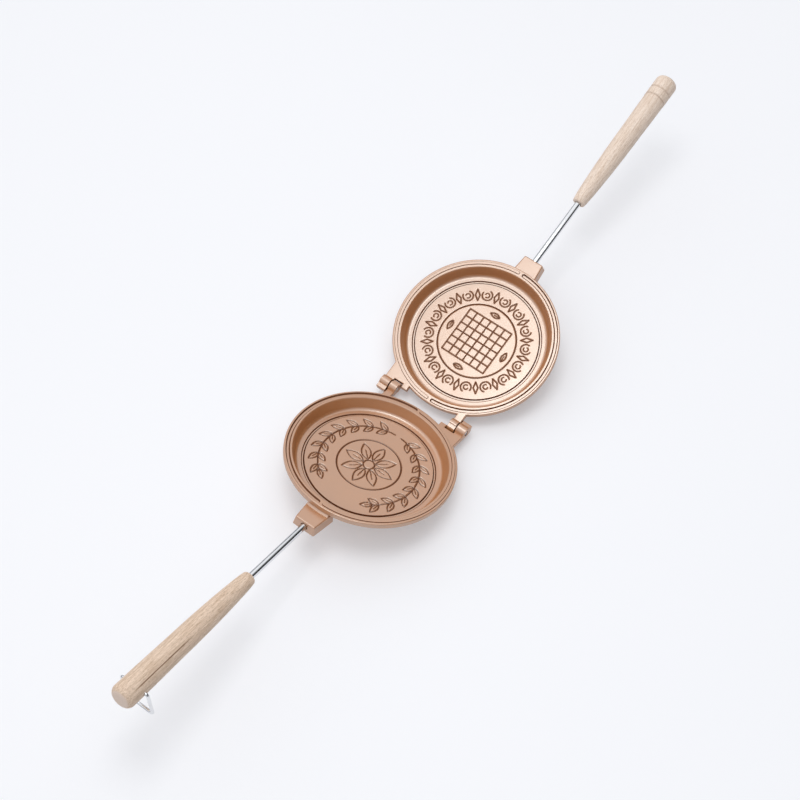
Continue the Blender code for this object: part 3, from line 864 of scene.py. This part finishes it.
def in_line(point, normal):
    """Tell whether a casting's face, in the frame of its half, is a groove's wall or inside a gap, which
    gets painted shade.
    """
    x, y, z = point
    radius = math.hypot(x, y - PAN_CENTRE_Y)
    if abs(radius - RING_RADIUS) < RING_WIDTH and z < RIM_Z - CAVITY_DEPTH:
        return abs(normal.z) < STEEP
    if abs(y) < BARREL_RADIUS and abs(normal.x) > FACING:
        return -OUTER_X[0] - SEAT_GAP < x < -NUB_X[1] + SEAT_GAP or x > INNER_X[1] - SEAT_GAP
    if abs(y - NOTCH_Y - NOTCH_RELIEF) < SEAT_GAP and -OUTER_X[0] < x < -NUB_X[1]:
        return abs(normal.y) > FACING
    if abs(y) < COUNTERSINK_RADIUS and x < -OUTER_X[1] + COUNTERSINK_DEPTH + SEAT_GAP:
        return math.hypot(y, z) < COUNTERSINK_RADIUS + SEAT_GAP and x > -OUTER_X[1] + SEAT_GAP
    return False


def on_tongue_side(point, normal):
    """Tell whether a casting's face is a sloping side of the rim's tongue or groove, which gets painted
    shade.
    """
    radius = math.hypot(point.x, point.y - PAN_CENTRE_Y)
    beside = abs(radius - TONGUE_RADIUS) > (GROOVE_TOP + SEAT_GAP) / 2
    if beside or abs(point.z - RIM_Z) > GROOVE_DEPTH:
        return False
    return TONGUE_SLOPES[0] < abs(normal.z) < TONGUE_SLOPES[1]


def paint_shade_on_walls(mesh):
    """Paint shade on a casting: the walls of its grooves and gaps get the second material, the sloping sides
    of the tongue and groove the third.
    """
    for face in mesh.polygons:
        if on_tongue_side(face.center, face.normal):
            face.material_index = 2
        elif in_line(face.center, face.normal):
            face.material_index = 1


def paint_shade_in_lines(mesh):
    """Paint shade on a disc: its faces that lie deep in a line, or below its top, get the second material.
    """
    deep = np.empty(len(mesh.vertices), np.float32)
    mesh.attributes["deep"].data.foreach_get("value", deep)
    for face in mesh.polygons:
        in_a_line = deep[list(face.vertices)].min() > DEEP_SHARE
        if in_a_line or abs(face.center.z - RIM_Z + CAVITY_DEPTH) > LINE_DEPTH:
            face.material_index = 1


def steel_material(name, tint, roughness, matrix):
    """Return steel with faint drawing lines along its length."""
    shader = Shader(name)
    coordinates = shader.object_coordinates(matrix)
    lines = shader.noise(coordinates, scale=2600.0, stretch=(1, 1, 0.02), detail=2.0)
    clouds = shader.noise(coordinates, scale=90.0)
    rough = shader.over_noise(lines, *(roughness * share for share in STEEL_ROUGHNESS))
    shader.surface(Base_Color=shader.tones(clouds, scaled(tint, STEEL_CLOUD), tint), Roughness=rough)
    shader.surface(Metallic=1.0)
    shader.bump(lines, distance=0.00002, strength=0.3)
    return shader.material


def streak(shader, coordinates, split):
    """Return where a wandering streak along the handle lies."""
    wander = shader.noise(coordinates, scale=260.0, stretch=(1, 1, 0.05), detail=2.0)
    angle = shader.calc("ARCTAN2", split.outputs["Y"], split.outputs["X"])
    moved = shader.calc("MULTIPLY_ADD", wander, STREAK_WANDER, angle)
    off = shader.calc("SUBTRACT", moved, STREAK_AROUND + STREAK_WANDER / 2)
    across = shader.span(shader.calc("ABSOLUTE", off), STREAK_HALF * 0.3, STREAK_HALF, 1.0, 0.0)
    start, end = STREAK_SPAN
    rise = shader.span(split.outputs["Z"], start, start + STREAK_FADE[0], 0.0, 1.0)
    fall = shader.span(split.outputs["Z"], end - STREAK_FADE[1], end, 1.0, 0.0)
    return shader.calc("MULTIPLY", shader.calc("MULTIPLY", across, rise), fall)


def wood_material(name, matrix, pale, warm, dark, grooved):
    """Return pale beech with lengthwise grain and flecks, painted shade on the end grain at its butt, and
    darker bands at its grooves or one dark streak.
    """
    shader = Shader(name)
    coordinates = shader.object_coordinates(matrix)
    broad = shader.noise(coordinates, scale=260.0, stretch=(1, 1, 0.07), roughness=0.55)
    fine = shader.noise(coordinates, scale=1300.0, stretch=(1, 1, 0.05), roughness=0.65)
    flecks = shader.noise(coordinates, scale=2500.0, stretch=(1, 1, 0.20), detail=2.0)
    tone = shader.ramp(broad, [(0.25, warm), (0.5, pale), (0.75, warm)])
    tone = shader.mix(shader.span(fine, 0.38, 0.66, 0.0, 0.72), tone, dark)
    tone = shader.mix(shader.span(flecks, 0.52, 0.68, 0.0, 0.60), tone, scaled(dark, FLECK_SHARE))
    split = shader.node("ShaderNodeSeparateXYZ", Vector=coordinates)
    # End grain at the butt, tinted cool as painted shade
    edge = [HANDLE_END - depth for depth in END_GRAIN_EDGE]
    shaded_end_grain = tuple(part * share for part, share in zip(pale, END_GRAIN_SHADE_TINT))
    tone = shader.mix(shader.span(split.outputs["Z"], *edge, 0.0, 0.7), tone, shaded_end_grain)
    # Darker bands at the seat grooves
    for from_butt in SEAT_GROOVE_FROM_BUTT if grooved else ():
        off = shader.calc("SUBTRACT", split.outputs["Z"], HANDLE_END - from_butt)
        groove_dark = shader.span(shader.calc("ABSOLUTE", off), *GROOVE_DARK_SPAN, 0.50, 0.0)
        tone = shader.mix(groove_dark, tone, scaled(dark, GROOVE_DARK_SHARE))
    if not grooved:
        tone = shader.mix(streak(shader, coordinates, split), tone, STREAK_TONE)
    shader.surface(Base_Color=tone, Roughness=shader.over_noise(fine, 0.50, 0.64), Specular_IOR_Level=0.35)
    shader.bump(fine, distance=0.00008, strength=0.35)
    return shader.material


def stroke_distance(grid, points):
    """Return the distance from each grid point to a polyline."""
    best = np.full(grid.shape[0], 1.0)
    for (ax, ay), (bx, by) in zip(points, points[1:]):
        step = np.array((bx - ax, by - ay))
        away = grid - np.array((ax, ay))
        share = np.clip(away @ step / max(step @ step, 1e-12), 0, 1)
        best = np.minimum(best, np.hypot(*(away - share[:, None] * step).T))
    return best


def disc_net():
    """Return the points and faces of a fine flat disc, with fewer points a ring towards its middle."""
    count = DISC_STEPS
    rings = int(RELIEF_RADIUS / RELIEF_STEP)
    points = []
    faces = []
    outer = None
    for ring in range(rings, 0, -1):
        radius = RELIEF_RADIUS * ring / rings
        crowded = math.tau * radius / count < RELIEF_STEP * RELIEF_CROWDED
        halve = outer is not None and count > DISC_FEWEST_STEPS and crowded
        count = count // 2 if halve else count
        inner = range(len(points), len(points) + count)
        points += arc((0, 0), radius, 0, math.tau * (count - 1) / count, count - 1)
        for k in range(count if outer else 0):
            n = (k + 1) % count
            if halve:
                low, middle, high = outer[2 * k], outer[2 * k + 1], outer[2 * n]
                faces += [(inner[k], low, middle), (inner[k], middle, inner[n])]
                faces.append((inner[n], middle, high))
            else:
                faces.append((inner[k], outer[k], outer[n], inner[n]))
        outer = inner
    faces.append(tuple(outer))
    return points, faces


def relief(name, strokes):
    """Return the engraved floor disc, with lines of (half width, points) cut into its top."""
    points, faces = disc_net()
    grid = np.array(points)
    depth = np.zeros(len(grid))
    for half, path in strokes:
        low = np.min(path, axis=0) - half - LINE_EDGE
        high = np.max(path, axis=0) + half + LINE_EDGE
        near = np.all((grid > low) & (grid < high), axis=1)
        if not near.any():
            continue
        distance = stroke_distance(grid[near], path)
        cut = np.clip((half + LINE_EDGE / 2 - distance) / LINE_EDGE, 0, 1)
        depth[near] = np.maximum(depth[near], cut * cut * (3 - 2 * cut))
    heights = np.concatenate((-depth * LINE_DEPTH, np.full(DISC_STEPS, -RING_DEPTH - LINE_DEPTH)))
    flat = np.concatenate((grid, grid[:DISC_STEPS] * (1 + DISC_FLARE / RELIEF_RADIUS)))
    foot = len(grid)
    for k in range(DISC_STEPS):
        n = (k + 1) % DISC_STEPS
        faces.append((k, foot + k, foot + n, n))
    faces.append(tuple(foot + DISC_STEPS - 1 - k for k in range(DISC_STEPS)))
    mesh = bpy.data.meshes.new(name)
    mesh.from_pydata(np.column_stack((flat, heights)).tolist(), [], faces)
    attribute = mesh.attributes.new("deep", "FLOAT", "POINT")
    deep = np.concatenate((depth, np.ones(DISC_STEPS)))
    attribute.data.foreach_set("value", deep.astype(np.float32))
    mesh.transform(Matrix.Translation((0, PAN_CENTRE_Y, RIM_Z - CAVITY_DEPTH)))
    return mesh_object(name, mesh)


def curve_points(start, bend, end, steps=10):
    """Return points on a quadratic curve."""
    t = np.linspace(0, 1, steps + 1)[:, None]
    start, bend, end = (np.array(point, float) for point in (start, bend, end))
    return (1 - t) ** 2 * start + 2 * t * (1 - t) * bend + t * t * end


def turned_point(radius, angle):
    """Return a point on a circle about the middle, its angle in degrees."""
    return np.array((radius * math.cos(math.radians(angle)), radius * math.sin(math.radians(angle))))


def circle_points(middle, radius, start=0.0, end=360.0, steps=24):
    """Return points along a circle about a middle, angles in degrees."""
    angles = [start + (end - start) * k / steps for k in range(steps + 1)]
    return [np.array(middle) + turned_point(radius, angle) for angle in angles]


def leaf(root, direction, length, width):
    """Return the outline and midrib of a pointed leaf, direction in degrees."""
    along = turned_point(1, direction)
    side = turned_point(1, direction + 90)
    root = np.array(root)
    tip = root + along * length
    strokes = []
    for sign in (-1, 1):
        bend = root + along * length * LEAF_BELLY + side * width * sign
        strokes.append((LEAF_LINE, curve_points(root, bend, tip)))
    strokes.append((MIDRIB_LINE, [root, root + along * length * MIDRIB]))
    return strokes


def wreath_strokes():
    """Return a leafy wreath, open at its top, round an eight-petalled rosette."""
    strokes = []
    for side in (-1, 1):
        strokes.append((LINE_HALF, [turned_point(WREATH_RADIUS, -90 + side * a) for a in WREATH_STEM]))
        for k in range(TWIGS):
            place = -90 + side * (FIRST_TWIG + TWIG_PITCH * k)
            base = turned_point(WREATH_RADIUS, place)
            for turn, length in TWIG_LEAVES:
                strokes += leaf(base, place + side * 90 - side * turn, length, TWIG_LEAF_WIDTH)
        place = -90 + side * WREATH_TIP
        strokes += leaf(turned_point(WREATH_RADIUS, place), place + side * 90, *TIP_LEAF)
    for k in range(PETALS):
        angle = 360 * k / PETALS
        strokes += leaf(turned_point(PETAL_ROOT, angle), angle, *PETAL)
    strokes.append((LINE_HALF, circle_points((0, 0), ROSETTE_EYE)))
    strokes.append((LINE_HALF, circle_points((0, 0), ROSETTE_RING, steps=72)))
    return strokes


def lattice_strokes():
    """Return a band of scrolls and diamonds round a square lattice in a ring."""
    strokes = []
    outer, inner = SCROLL_RADII
    low, high = BAND_RADIUS - DIAMOND_REACH, BAND_RADIUS + DIAMOND_REACH
    left, right = 0.5 + DIAMOND_SHARE, 0.5 - DIAMOND_SHARE
    corners = [(low, 0.5), (BAND_RADIUS, left), (high, 0.5), (BAND_RADIUS, right), (low, 0.5)]
    for k in range(SCROLLS):
        angle = 360 * k / SCROLLS
        middle = turned_point(BAND_RADIUS, angle)
        strokes.append((FINE_LINE, circle_points(middle, outer, angle + 60, angle + 330, 20)))
        strokes.append((CURL_LINE, circle_points(middle, inner, angle + 150, angle + 420, 14)))
        diamond = [turned_point(radius, angle + 360 / SCROLLS * share) for radius, share in corners]
        strokes.append((FINE_LINE, diamond))
    strokes.append((LINE_HALF, circle_points((0, 0), LATTICE_RING, steps=90)))
    half = LATTICE_HALF
    for k in range(LATTICE_CELLS + 1):
        at = -half + half * 2 / LATTICE_CELLS * k
        strokes.append((FINE_LINE, [(at, -half), (at, half)]))
        strokes.append((FINE_LINE, [(-half, at), (half, at)]))
    for angle in (90, 180, 270, 360):
        middle = turned_point(LATTICE_LEAF_RADIUS, angle - 90)
        strokes += leaf(middle - turned_point(LATTICE_LEAF[0] / 2, angle), angle, *LATTICE_LEAF)
    return strokes


def seat_groove(centre):
    """Return the points of one groove for the bail, a shallow arc in the handle's outside."""
    lift = SEAT_GROOVE_RADIUS - SEAT_GROOVE_DEPTH
    half_width = math.sqrt(SEAT_GROOVE_RADIUS ** 2 - lift ** 2)
    points = []
    for k in range(SEAT_GROOVE_STEPS + 1):
        off = half_width * (1 - 2 * k / SEAT_GROOVE_STEPS)
        sink = math.sqrt(SEAT_GROOVE_RADIUS ** 2 - off ** 2) - lift
        points.append((HANDLE_RADIUS - sink, centre + off, 0))
    return points


def handle_profile(grooved):
    """Return the handle's profile from the butt down its outside and up the bore for the rod."""
    corners = [(0, HANDLE_END, 0), (HANDLE_RADIUS, HANDLE_END, BUTT_ROUND)]
    if grooved:
        for from_butt in SEAT_GROOVE_FROM_BUTT:
            corners += seat_groove(HANDLE_END - from_butt)
    shares = HANDLE_SHARES[::-1]
    stations = []
    for (s0, r0), (s1, r1) in zip(shares, shares[1:]):
        for t in range(SHARE_STEPS):
            stations.append((s0 + (s1 - s0) * t / SHARE_STEPS, r0 + (r1 - r0) * t / SHARE_STEPS))
    stations.append(shares[-1])
    for length_share, radius_share in stations:
        place = HANDLE_START + HANDLE_LENGTH * length_share
        corners.append((HANDLE_RADIUS * radius_share, place, 0))
    corners += [
        (HANDLE_RADIUS * NOSE_SHARE, HANDLE_START, NOSE_ROUND),
        (BORE_RADIUS, HANDLE_START, 0),
        (BORE_RADIUS, HANDLE_START + ROD_IN_HANDLE, 0),
        (0, HANDLE_START + ROD_IN_HANDLE, 0),
    ]
    return filleted(corners)


def lock_length():
    """Return the distance from the cross hole to the crossbar seated in the other handle's groove."""
    across = 2 * ROD_DROP + HANDLE_RADIUS - SEAT_GROOVE_DEPTH + SEAT_GAP + WIRE_RADIUS
    return math.hypot(across, CROSS_HOLE_S - LOCK_GROOVE_S)


def bail():
    """Return the bent wire, hanging along -Z from its pivot at the origin."""
    half = BAIL_HALF_WIDTH
    drop = lock_length()
    corners = [
        (-half + BAIL_TAIL, 0, 0),
        (-half, 0, half - HANDLE_RADIUS),
        (-half, -drop, WIRE_BEND),
        (half, -drop, WIRE_BEND),
        (half, 0, half - HANDLE_RADIUS),
        (half - BAIL_TAIL, 0, 0),
    ]
    route = [(x, 0, z) for x, z in filleted(corners, WIRE_STEPS)]
    return bevelled("locking_bail_wire", route, "3D", WIRE_RADIUS, WIRE_SEGMENTS, use_fill_caps=True)


def dress_casting(name, fine, strokes, coating, wall_shade, tongue_shade):
    """Replace one casting, its shading led by its large faces, and engrave its floor."""
    body = name + "_half"
    matrix = half_matrix(name)
    shell = mesh_object(name + "_casting", fine.copy())
    shell.data.transform(matrix)
    finish(shell, [coating, wall_shade, tongue_shade], body, [name + "_pan"])
    shell.modifiers.new("weighted_normals", "WEIGHTED_NORMAL").keep_sharp = True
    disc = relief(name + "_relief", strokes)
    paint_shade_in_lines(disc.data)
    disc.data.transform(matrix)
    finish(disc, [coating, wall_shade], body, angle=60)


def dress_handle(name):
    """Replace one handle: the lower one has the bail's grooves, the upper one its cross hole."""
    grooved = name == "lower"
    grip = turned(name + "_grip", handle_profile(grooved), HANDLE_STEPS)
    if not grooved:
        reach = HANDLE_RADIUS + OVERRUN
        profile = cylinder(WIRE_RADIUS + SEAT_GAP, reach, -reach)
        hole = turned("cross_hole", profile, CROSS_HOLE_STEPS, sideways(0, CROSS_HOLE_S))
        grip = combine(grip, [hole], "DIFFERENCE")
    rod_matrix = half_matrix(name) @ along_rod(0)
    grip.data.transform(rod_matrix)
    wood = wood_material(name + "_beech", rod_matrix, *WOODS[name], grooved)
    finish(grip, [wood], name + "_half", [name + "_handle"])


def dress_rod(name):
    """Replace one rod."""
    rod_matrix = half_matrix(name) @ along_rod(0)
    top = HANDLE_START + ROD_IN_HANDLE - SEAT_GAP
    profile = cylinder(ROD_RADIUS, top, SEAT_GAP - SOCKET_DEPTH, ROD_ROUND)
    rod = turned(name + "_rod_bar", profile, ROD_STEPS, rod_matrix)
    steel = steel_material(name + "_rod_steel", *PLATED_STEEL, rod_matrix)
    finish(rod, [steel], name + "_half", [name + "_rod"])


def dress_pin(name):
    """Replace the hinge pin that rides with one half."""
    side = "left" if name == "lower" else "right"
    place = half_matrix(name) @ sideways(-PIN_X, 0)
    half = PIN_SPAN / 2 - SEAT_GAP
    pin = turned("pin_" + side, cylinder(PIN_RADIUS, half, -half, PIN_ROUND), BORE_STEPS, place)
    steel = steel_material("pin_%s_steel" % side, *PIN_STEEL, place)
    finish(pin, [steel], name + "_half", ["hinge_pin_" + side])


def dress_bail():
    """Replace the bail."""
    mesh = bail()
    place = Matrix.Translation((half_matrix("upper") @ along_rod(CROSS_HOLE_S)).translation)
    mesh.transform(place)
    steel = steel_material("bail_steel", *PLATED_STEEL, place)
    finish(mesh_object("bail_wire", mesh), [steel], "bail", ["locking_bail"])


def dress():
    """Build every piece on its body."""
    coating = pan_material()
    # Painted shade for the walls of grooves, lines and gaps, and for the tongue's sides
    wall_shade = painted_shade_material("painted_shade_coating", *PAINTED_SHADE_TONES)
    tongue_shade = painted_shade_material("tongue_painted_shade", *TONGUE_SHADE_TONES)
    pattern = casting()
    fine = pattern.data
    bpy.data.objects.remove(pattern, do_unlink=True)
    paint_shade_on_walls(fine)
    designs = {"lower": lattice_strokes(), "upper": wreath_strokes()}
    for name, strokes in designs.items():
        dress_casting(name, fine, strokes, coating, wall_shade, tongue_shade)
        dress_handle(name)
        dress_rod(name)
        dress_pin(name)
    dress_bail()


def floor():
    """Add the pale floor, which glows a little to the camera and to reflections."""
    reach = FLOOR_REACH
    mesh = bpy.data.meshes.new("floor")
    corners = [(-reach, -reach, 0), (reach, -reach, 0), (reach, reach, 0), (-reach, reach, 0)]
    mesh.from_pydata(corners, [], [(0, 1, 2, 3)])
    obj = mesh_object("floor", mesh)
    shader = Shader("floor")
    cloud = shader.noise(shader.object_coordinates(), scale=1.3, detail=1.0)
    tone = shader.tones(cloud, *FLOOR_TONES)
    shader.surface(Base_Color=tone, Roughness=0.9, Specular_IOR_Level=0.1)
    path = shader.node("ShaderNodeLightPath")
    seen = shader.calc("MAXIMUM", path.outputs["Is Camera Ray"], path.outputs["Is Glossy Ray"])
    seen = shader.calc("MAXIMUM", seen, path.outputs["Is Transmission Ray"])
    glow = shader.node("ShaderNodeEmission", Color=tone, Strength=1.0)
    blend = shader.node("ShaderNodeMixShader")
    shader.put(blend, 0, shader.span(seen, 0.0, 1.0, 0.0, FLOOR_GLOW))
    shader.put(blend, 1, shader.bsdf.outputs[0])
    shader.put(blend, 2, glow.outputs[0])
    shader.put(shader.tree.nodes["Material Output"], "Surface", blend.outputs[0])
    mesh.materials.append(shader.material)


def key_light():
    """Add the square soft box over the table, aimed at the origin."""
    light = bpy.data.lights.new("key", "AREA")
    light.size = KEY_SIZE
    light.energy = KEY_POWER
    obj = bpy.data.objects.new("key", light)
    obj.location = KEY_PLACE
    obj.rotation_euler = (-KEY_PLACE).to_track_quat("-Z", "Y").to_euler()
    bpy.context.scene.collection.objects.link(obj)


def studio():
    """Add the world light: brighter overhead, dark at the horizon and on one side, pale to the camera."""
    world = bpy.data.worlds.new("studio")
    bpy.context.scene.world = world
    world.use_nodes = True
    nodes = Nodes(world.node_tree)
    direction = nodes.node("ShaderNodeTexCoord").outputs["Generated"]
    overhead = nodes.span(nodes.along(direction, SKY_AXIS), *SKY_LEVELS, "SMOOTHSTEP")
    height = nodes.node("ShaderNodeSeparateXYZ", Vector=direction).outputs["Z"]
    level = nodes.calc("MULTIPLY", overhead, nodes.span(height, *HORIZON_LEVELS, "SMOOTHSTEP"))
    shade = nodes.span(nodes.along(direction, DARK_AXIS), *DARK_LEVELS, "SMOOTHSTEP")
    level = nodes.calc("MULTIPLY", level, shade)
    seen = nodes.node("ShaderNodeMix")
    nodes.put(seen, 0, nodes.node("ShaderNodeLightPath").outputs["Is Camera Ray"])
    nodes.put(seen, 2, level)
    nodes.put(seen, 3, LEVEL_TO_CAMERA)
    background = nodes.tree.nodes["Background"]
    nodes.put(background, "Color", SKY_COLOUR)
    nodes.put(background, "Strength", seen.outputs[0])


def camera():
    """Set the camera that the photograph was fitted to."""
    data = bpy.data.cameras.new("camera")
    data.sensor_width = CAMERA_SENSOR
    data.lens = CAMERA_LENS
    obj = bpy.data.objects.new("camera", data)
    turn = Matrix((CAMERA_RIGHT, CAMERA_UP, CAMERA_BACK)).transposed().to_4x4()
    obj.matrix_world = Matrix.Translation(CAMERA_PLACE) @ turn
    bpy.context.scene.collection.objects.link(obj)
    bpy.context.scene.camera = obj


camera()
floor()
studio()
key_light()
dress()
bpy.context.scene.view_settings.view_transform = "Standard"
